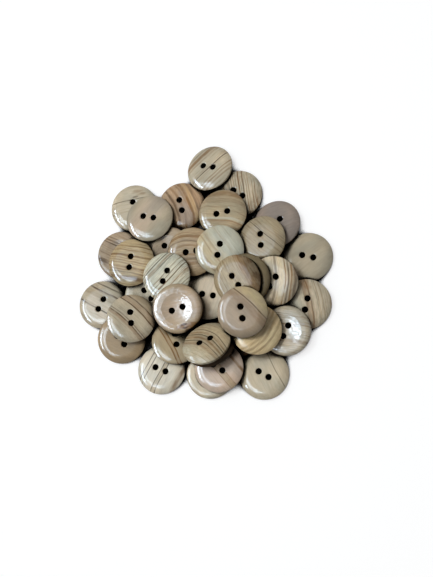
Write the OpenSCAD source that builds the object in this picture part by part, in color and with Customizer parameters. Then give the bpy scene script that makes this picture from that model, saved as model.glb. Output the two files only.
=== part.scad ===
// Heap of turned two-hole wooden buttons.
// Every button is one turned piece. The buttons are laid one after another, and each comes to rest
// on the table and on the buttons laid before it, at the tilt where its middle is lowest.
// The origin is on the table under the middle of the heap, and +Z is up.

/* [Button] */
// Outer diameter of a button
button_d = 20; // [16:0.5:25]
// Thickness of a button
button_t = 4; // [3:0.1:5]
// Width of the crowned border round the flat back
crown_w = 4; // [2.5:0.1:5]
// Width of the flat land between the round edge and the dish in the front
rim_land = 1.8; // [0.6:0.1:2.4]
// Depth of the dish
dish_depth = 1; // [0.3:0.05:1.4]

/* [Thread holes] */
// Diameter of a thread hole
hole_d = 2.5; // [1.5:0.1:2.7]
// Distance between the middles of the two holes
hole_pitch = 4.6; // [3.6:0.1:4.8]
// Width of the chamfer round the mouth of a hole in the flat back
hole_chamfer = 0.2; // [0.1:0.05:0.3]

/* [Heap] */
// Gap between a button and the buttons that it lies on
lay_gap = 0.15; // [0.1:0.05:0.3]

/* [Hidden] */
$fn = 96;
// Length by which a cut runs past the face that it leaves
overrun = 1;
// Radius of the round edge, and of the flat disc that it runs round
edge_r = button_t / 2;
core_r = button_d / 2 - edge_r;
// Radius of the flat of the back, and height of the crowned border where it meets the edge
flat_r = button_d / 2 - crown_w;
crown_share = 0.9;
crown_rise = crown_share * edge_r;
// Radius of the crowned border, and depth by which its arc is let into the flat
crown_r = (crown_w ^ 2 + crown_rise ^ 2) / (2 * crown_rise);
let_in_share = 0.01;
let_in = let_in_share * edge_r;
// Distance between the flat discs inside two buttons that lie on each other
reach = button_t + lay_gap;
// Radius of the dish at its mouth, and of the ball that the dish is a part of
dish_r = core_r - rim_land;
dish_ball_r = (dish_r ^ 2 + dish_depth ^ 2) / (2 * dish_depth);
// Closeness, as a share of the gap, at which a button counts as lying on what is under it
fine_share = 0.02;
fine = fine_share * lay_gap;
// Steps round a button's rim at which it is tried against the others
rim_steps = 48;
// Most moves that a button takes to find its rest
settle_moves = 40;
touch_moves = 8;

// Wood tones, from pale sapwood to brown heartwood
SAP = [0.76, 0.73, 0.65];
TAN = [0.71, 0.64, 0.53];
BROWN = [0.64, 0.53, 0.40];
// Turn that brings the front or the back up
FRONT = 0;
BACK = 180;

// The buttons in the order in which they are laid: the place in plan, as shares of a button's diameter
// from the middle of the heap, the turn of the holes in degrees, the face that is up and the wood
heap_shares = [
    // On the table
    [[2.16, 0.22], -15, BACK, TAN],
    [[2.12, -0.75], 75, BACK, BROWN],
    [[1.53, 0.93], 34, BACK, TAN],
    [[0.73, 1.63], -34, BACK, BROWN],
    [[-0.49, 1.45], -76, BACK, BROWN],
    [[-1.53, 1.47], 94, BACK, SAP],
    [[-1.81, 0.47], 20, FRONT, BROWN],
    [[-0.77, 0.50], 120, FRONT, TAN],
    [[-2.20, -0.58], 62, BACK, SAP],
    [[-1.19, -0.41], -50, FRONT, SAP],
    [[0.09, -0.48], -10, BACK, TAN],
    [[1.24, -2.13], -31, BACK, SAP],
    [[0.14, -2.09], 60, FRONT, TAN],
    [[-0.89, -1.98], -23, BACK, SAP],
    [[0.55, 0.60], 70, FRONT, TAN],
    [[1.17, -0.37], 15, FRONT, TAN],
    [[0.73, -1.27], 15, FRONT, TAN],
    // Over those
    [[-1.73, -1.34], -53, BACK, TAN],
    [[1.72, -1.29], 63, FRONT, BROWN],
    [[-0.20, 0.40], 6, BACK, BROWN],
    [[-1.50, 0.24], 83, BACK, BROWN],
    [[-1.11, 1.16], -12, BACK, TAN],
    [[0.44, 1.18], 12, BACK, BROWN],
    [[1.27, 0.55], -88, BACK, TAN],
    [[0.14, 2.20], -16, BACK, SAP],
    [[-1.46, -0.95], -84, BACK, TAN],
    [[0.36, -1.99], -35, BACK, TAN],
    [[-0.55, -1.41], -80, BACK, SAP],
    [[-0.44, -0.80], 40, FRONT, TAN],
    [[0.25, -1.60], 30, FRONT, TAN],
    [[-0.68, -0.14], 67, BACK, SAP],
    // On the heap
    [[0.42, 0.37], 76, BACK, SAP],
    [[1.51, -0.32], 52, BACK, BROWN],
    [[1.00, -0.28], 0, FRONT, TAN],
    [[1.18, -1.29], 40, BACK, BROWN],
    [[0.22, -1.56], 24, BACK, TAN],
    [[-0.40, -0.83], 18, FRONT, TAN],
    [[0.85, -0.34], -57, BACK, TAN],
    [[0.98, -1.00], -83, BACK, TAN]
];

NODES = [for (i = [0 : len(heap_shares) - 1]) str("button_", i < 9 ? "0" : "", i + 1)];

// A laid button is [middle, up direction, slope of its disc in plan, points round its disc]
function unit(v) = v / norm(v);
function plan(p) = [p.x, p.y];
function rim_of(middle, up) =
    let (across = core_r * unit(cross([0, 1, 0], up)), along = cross(up, across))
    [for (k = [1 : rim_steps]) let (a = 360 * k / rim_steps) middle + cos(a) * across + sin(a) * along];
function laid(middle, slope) =
    let (up = unit([-slope.x, -slope.y, 1]))
    [middle, up, slope, rim_of(middle, up)];

// Height to which a laid button holds up the edge of a disc at a place in plan
function height_over(b, place) =
    let (off = place - plan(b[0]), rise = b[2] * off, far = norm([off.x, off.y, rise]))
    far <= core_r ? b[0].z + rise + reach / b[1].z :
    far < core_r + reach ? b[0].z + rise * core_r / far + sqrt(reach ^ 2 - (far - core_r) ^ 2) :
    edge_r;

// Points that a disc at this place has to stay above: round its own edge, and on the edges under it
function supports(place, near) = concat(
    [for (k = [1 : rim_steps])
        let (a = 360 * k / rim_steps, q = core_r * [cos(a), sin(a)])
        [q.x, q.y, max(concat([edge_r], [for (b = near) height_over(b, place + q)]))]],
    [for (b = near) for (p = b[3])
        let (q = plan(p) - place)
        if (norm(q) <= core_r) [q.x, q.y, p.z + reach]]
);

// How far inside a three-point stand the middle is, and the best stand that takes in a further point
function spin(p, q) = p.x * q.y - p.y * q.x;
function inside(s) = min(spin(s[0], s[1]), spin(s[1], s[2]), spin(s[2], s[0]));
function taking_in(s, p) =
    let (stands = [[p, s[1], s[2]], [s[0], p, s[2]], [s[0], s[1], p]],
        margins = [for (t = stands) inside(t)])
    stands[search(max(margins), margins)[0]];

// The stand is moved to the point that stands proudest of it, until none does: [height, slope]
function settled(points, stand, moves = settle_moves) =
    let (n = cross(stand[1] - stand[0], stand[2] - stand[0]),
        slope = -plan(n) / n.z,
        height = stand[0].z - slope * plan(stand[0]),
        proud = [for (p = points) p.z - height - slope * plan(p)],
        worst = max(proud))
    worst < fine || moves == 0 ? [height, slope] :
    settled(points, taking_in(stand, points[search(worst, proud)[0]]), moves - 1);

// Distance from a point to the disc inside a laid button
function clear_of(b, p) =
    let (off = p - b[0], over = off * b[1], out = norm(off - over * b[1]))
    out <= core_r ? abs(over) : norm([over, out - core_r]);

// The button is moved up or down until it just lies on the table or on another button
function touching(b, near, moves = touch_moves) =
    let (low = min([for (p = b[3]) p.z]),
        short = max(concat([edge_r - low],
            [for (o = near) for (p = b[3]) reach - clear_of(o, p)],
            [for (o = near) for (p = o[3]) reach - clear_of(b, p)])))
    abs(short) < fine || moves == 0 ? b :
    touching(laid(b[0] + [0, 0, short], b[2]), near, moves - 1);

function put_down(place, before) =
    let (near = [for (b = before) if (norm(plan(b[0]) - place) < button_d + lay_gap) b],
        stand = [for (a = [90, 210, 330]) [core_r * cos(a), core_r * sin(a), edge_r]],
        rest = settled(supports(place, near), stand))
    touching(laid([place.x, place.y, rest[0]], rest[1]), near);

function heap_of(rows, done = []) =
    len(done) == len(rows) ? done :
    heap_of(rows, concat(done, [put_down(button_d * rows[len(done)][0], done)]));

heap = heap_of(heap_shares);

// The middle of the heap's extent along an axis, and the place on the table under it
function half_width(b, axis) = core_r * sqrt(1 - (b[1] * axis) ^ 2) + edge_r;
function middle_along(axis) =
    let (ends = [for (b = heap) for (side = [-1, 1]) b[0] * axis + side * half_width(b, axis)])
    (min(ends) + max(ends)) / 2;
heap_middle = [middle_along([1, 0, 0]), middle_along([0, 1, 0]), 0];

module round_section() {
    square([core_r, button_t]);
    translate([core_r, edge_r])
        circle(r = edge_r);
}

module crown_section() {
    square([flat_r, button_t]);
    translate([flat_r, crown_r - let_in])
        circle(r = crown_r);
}

module half_section() {
    intersection() {
        round_section();
        crown_section();
    }
}

module dish_section() {
    translate([0, button_t - dish_depth + dish_ball_r])
        circle(r = dish_ball_r);
}

module blank() {
    rotate_extrude()
        difference() {
            half_section();
            dish_section();
        }
}

module thread_hole() {
    translate([0, 0, -overrun])
        cylinder(d = hole_d, h = button_t + 2 * overrun);
    translate([0, 0, -hole_chamfer])
        cylinder(d1 = hole_d + 4 * hole_chamfer, d2 = hole_d, h = 2 * hole_chamfer);
}

module button() {
    difference() {
        blank();
        for (side = [-1, 1])
            translate([side * hole_pitch / 2, 0, 0])
                thread_hole();
    }
}

module laid_button(i) {
    row = heap_shares[i];
    up = heap[i][1];
    lean = acos(up.z);
    way = atan2(up.y, up.x);
    color(row[3])
        translate(heap[i][0] - heap_middle)
            rotate([0, lean, way])
                rotate([0, 0, row[1] - way])
                    rotate([row[2], 0, 0])
                        translate([0, 0, -edge_r])
                            button();
}

for (i = [0 : len(NODES) - 1])
    laid_button(i);
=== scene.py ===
"""A loose heap of turned wooden two-hole buttons on a white table, lit from a window on the left."""
import math

import bpy
from mathutils import Matrix, Vector


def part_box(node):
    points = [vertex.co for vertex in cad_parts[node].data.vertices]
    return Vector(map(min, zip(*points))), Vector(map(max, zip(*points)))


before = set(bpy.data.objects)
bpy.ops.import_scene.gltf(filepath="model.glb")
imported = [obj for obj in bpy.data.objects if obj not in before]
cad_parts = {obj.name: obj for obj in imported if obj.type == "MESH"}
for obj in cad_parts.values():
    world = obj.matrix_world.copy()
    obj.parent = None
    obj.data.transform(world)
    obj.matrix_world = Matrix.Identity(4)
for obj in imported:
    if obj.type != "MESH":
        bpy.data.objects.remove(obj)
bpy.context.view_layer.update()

MM = 0.001

# The photograph's frame and viewpoint
IMAGE_HEIGHT_PX = 577
FOCAL_PX = 1020.6
SENSOR_MM = 36.0
VIEW_TARGET = Vector((5.1, -7.04, 0.0)) * MM
VIEW_DISTANCE = 420 * MM
VIEW_AZIMUTH = -40
VIEW_ELEVATION = 73
NEAREST_SEEN = 10 * MM

# Lamps: azimuth and elevation in degrees, width and height in metres, and power. The key lights the wood,
# and the two windows only shine in the lacquer.
LAMP_DISTANCE = 0.50
KEY = (160, 79, 0.14, 0.14, 1.30)
WINDOWS = {
    "left_window": (188, 28, 0.38, 0.08, 11.5),
    "high_window": (205, 58, 0.44, 0.20, 9.0),
}
DAYLIGHT = (0.90, 0.96, 1.0)
WINDOW_BLUE = (0.66, 0.82, 1.0)

# The soft light: its strength, the share of it on the far side, the azimuth and elevation it leans to, and
# the cosines of the angle from there at which it is faintest and strongest
SKY_STRENGTH = 0.88
FAR_SHARE = 0.04
SKY_LEAN = (162, 50)
SKY_SPREAD = (-0.1, 0.95)

# The table: half its side in metres, the lightness of its paint, and the glow that brings it to white in
# the picture
FLOOR_HALF = 1.5
FLOOR_SHARE = 0.25
FLOOR_GLOW = 0.79
# Painted shade where the heap meets the table, and in the gaps and bores of the heap: how far other surfaces
# count, how open a place is where it is darkest and where it is clear, and the light left at its darkest.
# The samples measure how open a place is.
PAINTED_CONTACT_SHADE = (28 * MM, 0.38, 0.56, 0.0)
PAINTED_GAP_SHADE = (8 * MM, 0.47, 0.61, 0.02)
OPENNESS_SAMPLES = 16

# Wood colours in 8-bit sRGB
CHALK = (204, 195, 176)
BONE = (190, 178, 155)
MIST = (184, 181, 162)
PUTTY = (174, 163, 141)
SAND = (186, 167, 130)
TAN = (168, 153, 125)
FAWN = (168, 150, 127)
PINK = (182, 163, 145)
ROSE = (168, 142, 114)
TAUPE = (152, 139, 128)
BUFF = (162, 142, 113)
HONEY = (172, 144, 100)
OLIVE = (184, 168, 132)
BROWN = (118, 84, 48)
UMBER = (72, 48, 28)
LINE = (76, 62, 45)
# Painted shade: a near-black wood for the buttons deep under the heap
SHADE = (60, 46, 32)
# Tints between which the wood drifts
COOL = (0.985, 1.00, 1.01, 1.0)
WARM = (1.03, 0.99, 0.95, 1.0)

# Noise in the wood: its scales per millimetre along the grain, across it and in depth, its detail and its
# roughness
SWAY_NOISE = ((0.09, 0.08, 0.08), 1.0, 0.5)
FIBRE_NOISE = ((0.25, 2.6, 2.0), 4.0, 0.65)
TONE_NOISE = ((0.09, 0.16, 0.12), 2.0, 0.5)
WARMTH_NOISE = ((0.10, 0.13, 0.10), 1.0, 0.5)
FADE_NOISE = ((0.22, 0.5, 0.3), 2.0, 0.5)
PEBBLE_NOISE = ((1.4, 1.4, 1.4), 1.0, 0.5)
NOISE_MEAN = 0.5
SEED_STEP = 7.31
# How far in millimetres a full wave moves the grain
SWAY_MM = 8.0
# The figure's scale along the grain per millimetre, its detail and its roughness
FIGURE_ALONG = 0.035
FIGURE_DETAIL = 4.0
FIGURE_ROUGHNESS = 0.65

# The values of each noise between which its effect runs from one end to the other
FIGURE_STEP = (0.52, 0.66)
FADE_STEP = (0.36, 0.52)
FIBRE_STEP = (0.3, 0.7)
TONE_STEP = (0.3, 0.7)
WARMTH_STEP = (0.35, 0.65)
PEBBLE_STEP = (0.38, 0.62)
# The share of a band's colour that is left where it fades, and the darkest and lightest tone of the wood
FADED_SHARE = 0.65
TONES = (0.88, 1.10)
# How much the fibres lighten and darken the wood: on plain wood, and as a share of the figure's strength
LEAST_STREAK = 0.05
STREAK_SHARE = 0.25

# The bands' colours are laid out to this distance on both sides of the button's middle
RAMP_HALF_MM = 11.0
# A band's soft edge, as a share of its half width
SOFT_SHARE = 0.6
# A spot's width as a share of its length along the grain, how ragged it is, and where it ends and is full, as
# shares of its radius
SPOT_STRETCH = 0.3
SPOT_RAGGED = 3.0
SPOT_END = 1.5
SPOT_FULL = 0.5

# Roughness of the bare wood, relief of its fibres and of the most uneven lacquer, and the radius and samples
# of eased edges
WOOD_ROUGHNESS = 0.5
FIBRE_RELIEF = 0.02 * MM
LACQUER_RELIEF = 0.1 * MM
EASED_EDGE = 0.5 * MM
EASED_SAMPLES = 4


class Look:
    """How one button's wood looks.

    angle: the grain's direction in plan, in degrees
    base: the wood's colour
    figure, spacing, wave: strength, spacing and waviness of the finer figure
    bend: bow of the grain
    light: how light the wood is, partly its own tone and partly painted light and shade that make up for how
    lit the button sits in the heap gloss, dull: weight of the lacquer's shine, and its roughness
    mottle: how uneven the lacquer is, from 0 to 1
    index: the lacquer's refractive index
    bands: (middle across the grain, half width, colour, strength), the later ones over the earlier ones
    spots: (place along the grain, place across it, radius, colour, strength)
    Places and widths are in millimetres, from the button's middle.
    """

    def __init__(self, angle, base, figure=0.25, spacing=1.0, wave=0.15, bend=0.0, light=1.0, gloss=0.35,
                 dull=0.19, mottle=0.1, index=1.5, bands=(), spots=()):
        self.angle = math.radians(angle)
        self.base = base
        self.figure = figure
        self.spacing = spacing
        self.wave = wave
        self.bend = bend
        self.light = light
        self.gloss = gloss
        self.dull = dull
        self.mottle = mottle
        self.index = index
        self.bands = bands
        self.spots = spots


LOOKS = {
    "button_01": Look(35, PUTTY, figure=0.08),
    "button_02": Look(-80, PUTTY, figure=0.45, spacing=0.8, wave=0.4, bend=-0.02, light=1.2, bands=[
        (-5.0, 4.5, MIST, 0.5), (1.9, 1.3, BROWN, 0.4), (0.7, 0.3, UMBER, 0.4), (2.9, 0.3, UMBER, 0.6),
        (5.4, 0.2, LINE, 0.35), (7.4, 0.25, BROWN, 0.35),
    ], spots=[
        (-7.6, 1.6, 1.5, BROWN, 0.5),
    ]),
    "button_03": Look(20, TAUPE, figure=0.08, light=0.95),
    "button_04": Look(-82, PUTTY, figure=0.9, spacing=0.6, light=1.18, bands=[
        (4.8, 0.25, BROWN, 0.5), (2.6, 0.3, UMBER, 0.55), (0.8, 0.2, BROWN, 0.5),
        (-1.2, 0.25, BROWN, 0.45), (-3.2, 0.3, UMBER, 0.5), (-5.4, 0.3, BROWN, 0.5),
    ]),
    "button_05": Look(-68, ROSE, figure=0.4, wave=0.3, bend=-0.02, light=1.2, bands=[
        (6.6, 0.5, UMBER, 0.5), (5.2, 0.7, HONEY, 0.6), (3.6, 0.6, BROWN, 0.85), (0.2, 0.5, BROWN, 0.5),
        (-2.4, 0.5, UMBER, 0.6), (-7.0, 1.0, TAUPE, 0.6),
    ], spots=[
        (5.0, 0.6, 2.4, TAUPE, 0.5),
    ]),
    "button_06": Look(8, BONE, figure=0.15, light=1.05, bands=[
        (3.2, 0.2, LINE, 0.7),
    ], spots=[
        (3.6, 6.4, 0.7, BROWN, 0.4), (4.6, 5.2, 0.6, BROWN, 0.5), (1.5, 4.2, 0.3, UMBER, 0.5),
    ]),
    "button_07": Look(-28, FAWN, figure=0.4, gloss=0.15, bands=[
        (2.4, 0.25, UMBER, 0.8), (3.6, 0.3, UMBER, 0.6), (4.8, 0.2, LINE, 0.5),
    ], spots=[
        (-5.6, -5.4, 1.1, UMBER, 0.7),
    ]),
    "button_08": Look(30, FAWN, figure=0.12, light=1.3, gloss=0.08),
    "button_09": Look(-29, BONE, light=0.92, bands=[
        (7.4, 0.3, LINE, 0.7), (5.0, 0.35, UMBER, 0.9), (3.2, 1.2, TAN, 0.8), (-2.1, 0.3, LINE, 0.85),
    ]),
    "button_10": Look(10, PUTTY, figure=0.1, light=1.5),
    # Its high light is painted light on a button that the heap shades
    "button_11": Look(70, PUTTY, figure=0.15, light=1.72, bands=[
        (0.0, 6.0, TAUPE, 0.3),
    ]),
    "button_12": Look(-63, PUTTY, figure=0.1, light=1.3, bands=[
        (5.0, 0.16, LINE, 0.7),
    ]),
    "button_13": Look(-60, BONE, figure=0.15, light=1.22),
    "button_14": Look(60, CHALK, figure=0.12, wave=0.06, light=1.1, mottle=0.5, bands=[
        (5.8, 0.2, LINE, 0.85), (4.2, 0.2, LINE, 0.8), (-0.3, 0.2, LINE, 0.9), (-1.2, 0.7, TAN, 0.7),
        (-2.0, 0.2, LINE, 0.85), (-8.4, 0.7, BROWN, 0.7),
    ]),
    "button_18": Look(-20, BUFF, figure=0.1, light=1.01),
    "button_19": Look(-10, BONE, figure=0.6, spacing=0.6, gloss=1.0, dull=0.26, mottle=0.75,
                      index=1.6, bands=[
        (2.6, 0.25, BROWN, 0.5), (-3.8, 0.5, BROWN, 0.55),
    ]),
    "button_20": Look(5, BUFF, figure=0.55, spacing=0.9, wave=0.5, bend=-0.02, light=1.15, bands=[
        (6.2, 0.6, BROWN, 0.65), (4.2, 0.35, UMBER, 0.5), (2.2, 0.5, BROWN, 0.5),
        (-1.6, 0.5, BROWN, 0.55), (-3.4, 0.4, UMBER, 0.5), (-5.4, 0.6, BROWN, 0.6),
    ]),
    "button_21": Look(-12, SAND, figure=0.55, spacing=0.9, wave=0.3, light=0.86, bands=[
        (6.6, 0.3, BROWN, 0.6), (4.8, 0.25, BROWN, 0.6), (2.6, 0.4, BROWN, 0.7), (0.4, 0.25, BROWN, 0.5),
        (-2.2, 0.4, BROWN, 0.75), (-4.2, 0.35, UMBER, 0.5), (-6.6, 0.7, BROWN, 0.7),
    ], spots=[
        (1.5, -7.0, 1.2, UMBER, 0.4), (4.0, -6.2, 0.8, UMBER, 0.4),
    ]),
    "button_22": Look(50, PUTTY, figure=0.1, bands=[
        (1.5, 4.5, PINK, 0.6),
    ]),
    "button_23": Look(-8, TAN, figure=0.35, wave=0.45, bend=-0.015, light=1.06, bands=[
        (7.6, 1.4, BROWN, 0.6), (4.6, 0.8, BROWN, 0.3), (-2.0, 0.5, MIST, 0.7), (-3.4, 0.7, BUFF, 0.9),
        (-3.0, 0.2, BROWN, 0.5), (-5.8, 0.3, BROWN, 0.4),
    ]),
    "button_24": Look(-42, TAN, figure=0.35, spacing=0.6, light=0.91, gloss=0.3, bands=[
        (2.6, 0.16, UMBER, 0.8), (4.6, 0.2, BROWN, 0.35), (0.6, 0.2, BROWN, 0.3),
    ]),
    "button_25": Look(41, PUTTY, wave=0.08, light=1.18, bands=[
        (7.6, 0.3, UMBER, 0.5), (6.0, 0.8, BROWN, 0.75), (4.4, 0.3, BROWN, 0.45),
        (-0.4, 0.22, UMBER, 0.85), (-4.2, 0.25, BROWN, 0.5), (-5.5, 0.3, BROWN, 0.55),
        (-6.9, 0.3, BROWN, 0.45),
    ]),
    "button_26": Look(-44, PUTTY, bend=-0.012, light=1.06, bands=[
        (9.0, 1.8, BUFF, 0.8), (5.7, 1.1, BROWN, 0.45), (6.9, 0.25, UMBER, 0.9), (4.6, 0.25, UMBER, 0.9),
        (-0.7, 0.22, UMBER, 0.6), (-1.6, 0.25, UMBER, 0.85), (-2.3, 0.6, BROWN, 0.5),
    ]),
    "button_27": Look(-50, PINK, figure=0.15, light=1.3, bands=[
        (-0.15, 1.3, BUFF, 0.8), (-1.4, 0.15, BROWN, 0.6), (1.1, 0.15, BROWN, 0.6),
        (6.5, 0.5, BROWN, 0.8),
    ]),
    "button_28": Look(-59, TAN, figure=0.12, bend=-0.012, light=1.05, bands=[
        (-2.0, 0.7, BUFF, 0.9), (-2.7, 0.25, BROWN, 0.9), (-1.3, 0.25, BROWN, 0.9),
    ]),
    "button_31": Look(45, MIST, figure=0.7, spacing=0.55, wave=0.08, light=1.16, bands=[
        (6.4, 0.2, LINE, 0.85), (5.2, 0.3, BROWN, 0.55), (4.3, 0.2, LINE, 0.8), (1.0, 0.2, LINE, 0.4),
        (-0.6, 0.2, LINE, 0.7), (-2.1, 0.25, LINE, 0.9), (-4.3, 0.3, BROWN, 0.75),
    ]),
    "button_32": Look(-55, MIST, figure=0.2, wave=0.3, light=1.07, bands=[
        (-4.5, 4.0, SAND, 0.8), (-1.0, 0.4, BROWN, 0.3), (-2.8, 0.3, BROWN, 0.35),
        (-6.6, 0.6, BROWN, 0.5), (3.6, 0.6, PUTTY, 0.5),
    ]),
    "button_33": Look(83, PUTTY, figure=0.3, wave=0.2, bend=0.02, light=1.55, mottle=0.5, bands=[
        (3.0, 0.4, BROWN, 0.4), (-1.4, 0.5, UMBER, 0.6), (-3.4, 1.0, SAND, 0.4), (-5.2, 0.25, BROWN, 0.8),
        (-6.4, 0.4, UMBER, 0.7), (-7.6, 0.4, BROWN, 0.8), (-9.0, 0.7, UMBER, 0.7),
    ]),
    # Its low light is painted shade on a button that lies in the heap's shade
    "button_34": Look(-60, SAND, figure=0.15, light=0.38, gloss=0.1),
    "button_35": Look(50, SAND, figure=0.3, spacing=1.1, wave=0.25, bend=0.03, light=1.35,
                      gloss=0.75, dull=0.26, mottle=0.8, bands=[
        (-3.4, 0.5, BROWN, 0.4), (-5.2, 0.5, BROWN, 0.5), (-7.2, 0.4, UMBER, 0.4),
    ]),
    "button_36": Look(-28, TAN, figure=0.4, spacing=0.7, wave=0.3, bend=-0.035, gloss=0.12, bands=[
        (4.6, 0.2, LINE, 0.8), (3.2, 0.35, BROWN, 0.6), (2.2, 0.2, LINE, 0.85), (0.9, 0.4, BROWN, 0.7),
        (-0.4, 0.2, LINE, 0.8), (-1.8, 0.45, BROWN, 0.6), (-6.0, 3.4, MIST, 0.6),
    ]),
    "button_37": Look(15, BUFF, figure=0.15, light=1.12, gloss=0.9, dull=0.27, mottle=0.8,
                      index=1.7, bands=[
        (0.0, 5.5, PINK, 0.6),
    ], spots=[
        (2.4, -8.0, 1.1, BROWN, 0.8), (1.0, -7.0, 0.4, UMBER, 0.9), (1.2, -8.4, 0.4, UMBER, 0.9),
        (1.6, -9.3, 0.4, UMBER, 0.9),
    ]),
    "button_38": Look(-62, TAN, figure=0.5, spacing=0.6, light=0.86, gloss=0.1, bands=[
        (5.0, 1.4, BROWN, 0.5), (8.4, 2.4, UMBER, 0.8), (-3.0, 2.0, SAND, 0.6),
    ]),
    "button_39": Look(-44, FAWN, figure=0.08, bend=-0.008, light=0.9, gloss=0.22, bands=[
        (3.3, 1.6, BROWN, 0.35), (8.3, 2.9, OLIVE, 1.0), (5.0, 0.22, UMBER, 0.75),
    ]),
}
# The buttons under the heap, which hardly show, in a near-black wood that is painted shade
PLAIN_LOOK = Look(30, SHADE, gloss=0.1)


def rgb(red, green, blue):
    """A colour that is written in 8-bit sRGB, as linear red, green, blue and alpha."""
    def linear(value):
        share = value / 255
        return share / 12.92 if share <= 0.04045 else ((share + 0.055) / 1.055) ** 2.4
    return (linear(red), linear(green), linear(blue), 1.0)


def smooth(low, high, value):
    """A smooth step from 0 at the low value to 1 at the high one."""
    share = min(max((value - low) / (high - low), 0.0), 1.0)
    return share * share * (3 - 2 * share)


def toward(azimuth, elevation):
    """The direction at an azimuth from +X and an elevation, in degrees."""
    turn = math.radians(azimuth)
    rise = math.radians(elevation)
    return Vector((math.cos(rise) * math.cos(turn), math.cos(rise) * math.sin(turn), math.sin(rise)))


def node(tree, kind, **settings):
    """A new shader node, with its properties set by name."""
    made = tree.nodes.new(kind)
    for key, value in settings.items():
        setattr(made, key, value)
    return made


def math_node(tree, operation, first, second=0.0):
    """A math node on two values, each a number or the output of another node."""
    made = node(tree, "ShaderNodeMath", operation=operation)
    for socket, value in zip(made.inputs, (first, second)):
        if isinstance(value, (int, float)):
            socket.default_value = value
        else:
            tree.links.new(value, socket)
    return made.outputs[0]


def map_range(tree, value, source, low, high):
    """A smooth step from the low value to the high one, as the input runs between the two source values."""
    made = node(tree, "ShaderNodeMapRange", interpolation_type="SMOOTHSTEP")
    tree.links.new(value, made.inputs["Value"])
    for key, limit in zip(("From Min", "From Max", "To Min", "To Max"), (*source, low, high)):
        made.inputs[key].default_value = limit
    return made.outputs["Result"]


def mix_colour(tree, factor, first, second):
    """A mix of two colours, each written out or the output of another node."""
    made = node(tree, "ShaderNodeMix", data_type="RGBA")
    tree.links.new(factor, made.inputs["Factor"])
    for socket, colour in ((made.inputs[6], first), (made.inputs[7], second)):
        if isinstance(colour, tuple):
            socket.default_value = colour
        else:
            tree.links.new(colour, socket)
    return made.outputs[2]


def bump(tree, height, distance, normal):
    """The normal, roughened by a height."""
    made = node(tree, "ShaderNodeBump")
    made.inputs["Distance"].default_value = distance
    tree.links.new(height, made.inputs["Height"])
    tree.links.new(normal, made.inputs["Normal"])
    return made.outputs["Normal"]


def painted_openness_shade(tree, shadow):
    """Painted shade: 1 in the open, falling to the shadow's least light where the surface is closed in within
    its reach.
    """
    reach, closed, clear, least = shadow
    openness = node(tree, "ShaderNodeAmbientOcclusion", samples=OPENNESS_SAMPLES)
    openness.inputs["Distance"].default_value = reach
    return map_range(tree, openness.outputs["AO"], (closed, clear), least, 1.0)


def shown_ray(tree):
    """1 for rays that show what they meet: from the camera, in a gloss or through glass."""
    rays = node(tree, "ShaderNodeLightPath").outputs
    mirrored = math_node(tree, "MAXIMUM", rays["Is Glossy Ray"], rays["Is Transmission Ray"])
    return math_node(tree, "MAXIMUM", rays["Is Camera Ray"], mirrored)


def new_material(name):
    """A material with an empty node tree."""
    material = bpy.data.materials.new(name)
    material.use_nodes = True
    material.node_tree.nodes.clear()
    return material


def figure_noise(tree, along, warped, given):
    """Noise in long lines along the grain, for the finer figure."""
    place = node(tree, "ShaderNodeCombineXYZ")
    drawn_out = math_node(tree, "MULTIPLY", along, FIGURE_ALONG)
    tree.links.new(math_node(tree, "ADD", drawn_out, given["Seed"]), place.inputs[0])
    tree.links.new(math_node(tree, "DIVIDE", warped, given["Spacing"]), place.inputs[1])
    lines = node(tree, "ShaderNodeTexNoise", noise_dimensions="2D")
    lines.inputs["Scale"].default_value = 1.0
    lines.inputs["Detail"].default_value = FIGURE_DETAIL
    lines.inputs["Roughness"].default_value = FIGURE_ROUGHNESS
    tree.links.new(place.outputs[0], lines.inputs["Vector"])
    return lines.outputs["Fac"]


def grain_noise(tree, place, seed, scales, detail, roughness):
    """Noise over a place with its own scale in each direction, moved on by the seed."""
    scaled = node(tree, "ShaderNodeCombineXYZ")
    for axis, value, scale in zip(scaled.inputs, place, scales):
        tree.links.new(math_node(tree, "MULTIPLY", value, scale), axis)
    made = node(tree, "ShaderNodeTexNoise", noise_dimensions="4D")
    made.inputs["Scale"].default_value = 1.0
    made.inputs["Detail"].default_value = detail
    made.inputs["Roughness"].default_value = roughness
    tree.links.new(scaled.outputs[0], made.inputs["Vector"])
    tree.links.new(math_node(tree, "MULTIPLY", seed, SEED_STEP), made.inputs["W"])
    return made.outputs["Fac"]


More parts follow.
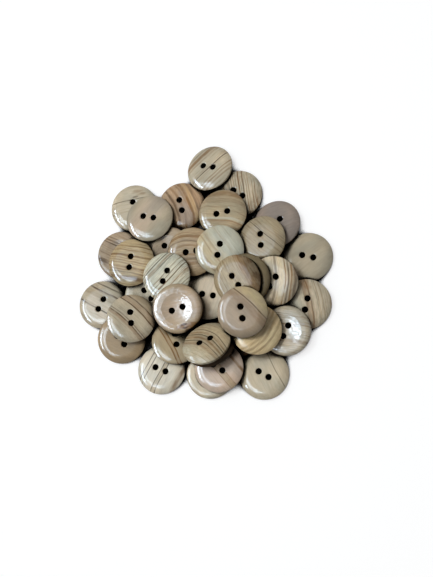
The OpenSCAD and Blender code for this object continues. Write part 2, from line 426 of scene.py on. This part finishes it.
def grain_group():
    """A node group: from a place in millimetres, the warped distance across the grain and the noises."""
    tree = bpy.data.node_groups.new("wood_grain", "ShaderNodeTree")
    face = tree.interface
    face.new_socket("Place", in_out="INPUT", socket_type="NodeSocketVector")
    for name in ("Wave", "Bend", "Spacing", "Seed"):
        face.new_socket(name, in_out="INPUT", socket_type="NodeSocketFloat")
    for name in ("Across", "Figure", "Fibre", "Tone", "Warmth", "Fade", "Pebble"):
        face.new_socket(name, in_out="OUTPUT", socket_type="NodeSocketFloat")
    given = node(tree, "NodeGroupInput").outputs
    result = node(tree, "NodeGroupOutput").inputs
    split = node(tree, "ShaderNodeSeparateXYZ")
    tree.links.new(given["Place"], split.inputs[0])
    place = tuple(split.outputs)
    along, across = place[:2]

    slow = math_node(tree, "SUBTRACT", grain_noise(tree, place, given["Seed"], *SWAY_NOISE), NOISE_MEAN)
    sway = math_node(tree, "MULTIPLY", math_node(tree, "MULTIPLY", slow, given["Wave"]), SWAY_MM)
    bow = math_node(tree, "MULTIPLY", math_node(tree, "MULTIPLY", along, along), given["Bend"])
    warped = math_node(tree, "SUBTRACT", math_node(tree, "ADD", across, sway), bow)
    tree.links.new(warped, result["Across"])
    tree.links.new(figure_noise(tree, along, warped, given), result["Figure"])
    for name, noise in (("Fibre", FIBRE_NOISE), ("Tone", TONE_NOISE), ("Warmth", WARMTH_NOISE),
                        ("Fade", FADE_NOISE), ("Pebble", PEBBLE_NOISE)):
        tree.links.new(grain_noise(tree, place, given["Seed"], *noise), result[name])
    return tree


def band_edges(band):
    """The four places across the grain where a band starts, is full, is full for the last time and ends."""
    middle, half = band[:2]
    soft = SOFT_SHARE * half
    return middle - half - soft, middle - half + soft, middle + half - soft, middle + half + soft


def colour_across(look, place):
    """The wood's colour at a place across the grain, with the bands laid over each other."""
    colour = rgb(*look.base)
    for band in look.bands:
        start, full, last, end = band_edges(band)
        cover = band[3] * smooth(start, full, place) * (1 - smooth(last, end, place))
        colour = tuple(c + cover * (t - c) for c, t in zip(colour, rgb(*band[2])))
    return colour


def grain_in(tree, group, name, look):
    """The place in a button, in millimetres with x along the grain, and the outputs of the grain there."""
    low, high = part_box(name)
    place = node(tree, "ShaderNodeMapping", vector_type="TEXTURE")
    place.inputs["Location"].default_value = (low + high) / 2
    place.inputs["Rotation"].default_value = (0.0, 0.0, look.angle)
    place.inputs["Scale"].default_value = (MM, MM, MM)
    tree.links.new(node(tree, "ShaderNodeTexCoord").outputs["Object"], place.inputs["Vector"])
    grain = node(tree, "ShaderNodeGroup")
    grain.node_tree = group
    tree.links.new(place.outputs[0], grain.inputs["Place"])
    seed = float(name[-2:])
    for key, value in (("Wave", look.wave), ("Bend", look.bend), ("Spacing", look.spacing), ("Seed", seed)):
        grain.inputs[key].default_value = value
    return place.outputs[0], grain.outputs


def banded(tree, look, grain):
    """The wood's colour with its bands, which fade in places."""
    share = math_node(tree, "MULTIPLY_ADD", grain["Across"], 0.5 / RAMP_HALF_MM)
    share.node.inputs[2].default_value = 0.5
    ramp = node(tree, "ShaderNodeValToRGB")
    ramp.color_ramp.interpolation = "EASE"
    elements = ramp.color_ramp.elements
    elements[0].color = colour_across(look, -RAMP_HALF_MM)
    elements[1].color = colour_across(look, RAMP_HALF_MM)
    for at in sorted(edge for band in look.bands for edge in band_edges(band)):
        if abs(at) < RAMP_HALF_MM:
            elements.new(0.5 + 0.5 * at / RAMP_HALF_MM).color = colour_across(look, at)
    tree.links.new(share, ramp.inputs["Fac"])
    fade = map_range(tree, grain["Fade"], FADE_STEP, FADED_SHARE, 1.0)
    return mix_colour(tree, fade, rgb(*look.base), ramp.outputs["Color"])


def spotted(tree, look, place, grain, colour):
    """The colour with the look's spots over it, which are drawn out along the grain and ragged."""
    level = node(tree, "ShaderNodeVectorMath", operation="MULTIPLY")
    tree.links.new(place, level.inputs[0])
    level.inputs[1].default_value = (SPOT_STRETCH, 1.0, 0.0)
    ragged = math_node(tree, "SUBTRACT", grain["Fade"], NOISE_MEAN)
    for along, across, radius, tint, strength in look.spots:
        off = node(tree, "ShaderNodeVectorMath", operation="DISTANCE")
        tree.links.new(level.outputs[0], off.inputs[0])
        off.inputs[1].default_value = (SPOT_STRETCH * along, across, 0.0)
        edge = math_node(tree, "MULTIPLY", ragged, SPOT_RAGGED * radius)
        reach = math_node(tree, "ADD", off.outputs["Value"], edge)
        cover = map_range(tree, reach, (SPOT_END * radius, SPOT_FULL * radius), 0.0, strength)
        colour = mix_colour(tree, cover, colour, rgb(*tint))
    return colour


def wood_colour(tree, look, place, grain, light):
    """The wood's colour: bands, figure and spots, varied by fibres, tone and tint, with painted shade in the
    gaps and bores.
    """
    figure = map_range(tree, grain["Figure"], FIGURE_STEP, 0.0, look.figure)
    figured = mix_colour(tree, figure, banded(tree, look, grain), rgb(*BROWN))
    wooden = spotted(tree, look, place, grain, figured)
    streak = LEAST_STREAK + STREAK_SHARE * look.figure
    lift = map_range(tree, grain["Fibre"], FIBRE_STEP, 1.0 - streak, 1.0 + streak)
    darkest, lightest = TONES
    tone = map_range(tree, grain["Tone"], TONE_STEP, darkest * look.light, lightest * look.light)
    shade = math_node(tree, "MULTIPLY", math_node(tree, "MULTIPLY", lift, tone), light)
    warmth = map_range(tree, grain["Warmth"], WARMTH_STEP, 0.0, 1.0)
    tinted = node(tree, "ShaderNodeVectorMath", operation="MULTIPLY")
    tree.links.new(wooden, tinted.inputs[0])
    tree.links.new(mix_colour(tree, warmth, COOL, WARM), tinted.inputs[1])
    colour = node(tree, "ShaderNodeVectorMath", operation="SCALE")
    tree.links.new(tinted.outputs[0], colour.inputs[0])
    tree.links.new(shade, colour.inputs["Scale"])
    return colour.outputs[0]


def wood(group, name, look):
    """One button's lacquered wood, its grain at the look's angle in plan, through the button's middle."""
    material = new_material("wood_" + name)
    tree = material.node_tree
    link = tree.links.new
    place, grain = grain_in(tree, group, name, look)
    # Painted shade: darkens the wood's colour where the button is closed in by others or by its bores
    light = painted_openness_shade(tree, PAINTED_GAP_SHADE)
    eased = node(tree, "ShaderNodeBevel", samples=EASED_SAMPLES)
    eased.inputs["Radius"].default_value = EASED_EDGE
    fibres = bump(tree, grain["Fibre"], FIBRE_RELIEF, eased.outputs[0])
    lacquer = bump(tree, grain["Pebble"], LACQUER_RELIEF * look.mottle, eased.outputs[0])
    evenness = map_range(tree, grain["Pebble"], PEBBLE_STEP, 1.0 - look.mottle, 1.0)
    # The painted shade also dims the lacquer's shine in the gaps and bores
    coat = math_node(tree, "MULTIPLY", math_node(tree, "MULTIPLY", light, evenness), look.gloss)

    shader = node(tree, "ShaderNodeBsdfPrincipled")
    link(wood_colour(tree, look, place, grain, light), shader.inputs["Base Color"])
    shader.inputs["Roughness"].default_value = WOOD_ROUGHNESS
    shader.inputs["Specular IOR Level"].default_value = 0.0
    link(coat, shader.inputs["Coat Weight"])
    shader.inputs["Coat Roughness"].default_value = look.dull
    shader.inputs["Coat IOR"].default_value = look.index
    link(fibres, shader.inputs["Normal"])
    link(lacquer, shader.inputs["Coat Normal"])
    link(shader.outputs[0], node(tree, "ShaderNodeOutputMaterial").inputs["Surface"])
    return material


def dress_buttons():
    """Gives every button its own wood."""
    group = grain_group()
    for name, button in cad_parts.items():
        material = wood(group, name, LOOKS.get(name, PLAIN_LOOK))
        if button.material_slots:
            for held in button.material_slots:
                held.material = material
        else:
            button.data.materials.append(material)


def make_camera():
    """The photograph's viewpoint: almost from above, with the heap's +Y up in the picture."""
    back = toward(VIEW_AZIMUTH, VIEW_ELEVATION)
    right = Vector((0.0, 1.0, 0.0)).cross(back).normalized()
    up = back.cross(right)
    turn = Matrix((right, up, back)).transposed().to_4x4()
    data = bpy.data.cameras.new("camera")
    data.sensor_fit = "VERTICAL"
    data.sensor_height = SENSOR_MM
    data.lens = SENSOR_MM * FOCAL_PX / IMAGE_HEIGHT_PX
    data.clip_start = NEAREST_SEEN
    camera = bpy.data.objects.new("camera", data)
    camera.matrix_world = Matrix.Translation(VIEW_TARGET + VIEW_DISTANCE * back) @ turn
    bpy.context.scene.collection.objects.link(camera)
    bpy.context.scene.camera = camera


def make_lamp(name, colour, azimuth, elevation, width, height, power):
    """An area lamp that faces the heap."""
    away = toward(azimuth, elevation)
    data = bpy.data.lights.new(name, "AREA")
    data.shape = "RECTANGLE"
    data.size = width
    data.size_y = height
    data.energy = power
    data.color = colour
    lamp = bpy.data.objects.new(name, data)
    lamp.location = LAMP_DISTANCE * away
    lamp.rotation_euler = away.to_track_quat("Z", "Y").to_euler()
    bpy.context.scene.collection.objects.link(lamp)
    return lamp


def make_lamps():
    """A key that the lacquer doesn't mirror, and windows that only the lacquer shows."""
    make_lamp("key", DAYLIGHT, *KEY).visible_glossy = False
    for name, window in WINDOWS.items():
        make_lamp(name, WINDOW_BLUE, *window).visible_diffuse = False


def make_world():
    """Soft light from overhead and from the left, and a white surround in the picture."""
    world = bpy.data.worlds.new("surround")
    world.use_nodes = True
    tree = world.node_tree
    tree.nodes.clear()
    nearness = node(tree, "ShaderNodeVectorMath", operation="DOT_PRODUCT")
    tree.links.new(node(tree, "ShaderNodeTexCoord").outputs["Generated"], nearness.inputs[0])
    nearness.inputs[1].default_value = toward(*SKY_LEAN)
    faintest = FAR_SHARE * SKY_STRENGTH
    strength = map_range(tree, nearness.outputs["Value"], SKY_SPREAD, faintest, SKY_STRENGTH)
    soft = node(tree, "ShaderNodeBackground")
    tree.links.new(strength, soft.inputs["Strength"])
    white = node(tree, "ShaderNodeBackground")
    mix = node(tree, "ShaderNodeMixShader")
    tree.links.new(shown_ray(tree), mix.inputs[0])
    tree.links.new(soft.outputs[0], mix.inputs[1])
    tree.links.new(white.outputs[0], mix.inputs[2])
    tree.links.new(mix.outputs[0], node(tree, "ShaderNodeOutputWorld").inputs[0])
    bpy.context.scene.world = world


def table_white():
    """White paint that keeps the heap's cast shadow, and glows in the picture only, with painted shade where
    the heap closes it in.
    """
    material = new_material("table_white")
    tree = material.node_tree
    # Painted contact shade: darkens the paint and the glow under and around the heap
    light = painted_openness_shade(tree, PAINTED_CONTACT_SHADE)
    colour = node(tree, "ShaderNodeCombineColor")
    for channel in colour.inputs:
        tree.links.new(math_node(tree, "MULTIPLY", light, FLOOR_SHARE), channel)
    paint = node(tree, "ShaderNodeBsdfDiffuse")
    tree.links.new(colour.outputs[0], paint.inputs["Color"])
    seen = math_node(tree, "MULTIPLY", light, shown_ray(tree))
    glow = node(tree, "ShaderNodeEmission")
    tree.links.new(math_node(tree, "MULTIPLY", seen, FLOOR_GLOW), glow.inputs["Strength"])
    both = node(tree, "ShaderNodeAddShader")
    tree.links.new(paint.outputs[0], both.inputs[0])
    tree.links.new(glow.outputs[0], both.inputs[1])
    tree.links.new(both.outputs[0], node(tree, "ShaderNodeOutputMaterial").inputs["Surface"])
    return material


def make_floor():
    """The table under the heap."""
    corners = [(x * FLOOR_HALF, y * FLOOR_HALF, 0.0) for x, y in ((-1, -1), (1, -1), (1, 1), (-1, 1))]
    mesh = bpy.data.meshes.new("table")
    mesh.from_pydata(corners, [], [(0, 1, 2, 3)])
    floor = bpy.data.objects.new("table", mesh)
    bpy.context.scene.collection.objects.link(floor)
    mesh.materials.append(table_white())


bpy.context.scene.view_settings.view_transform = "Standard"
make_camera()
make_lamps()
make_world()
make_floor()
dress_buttons()
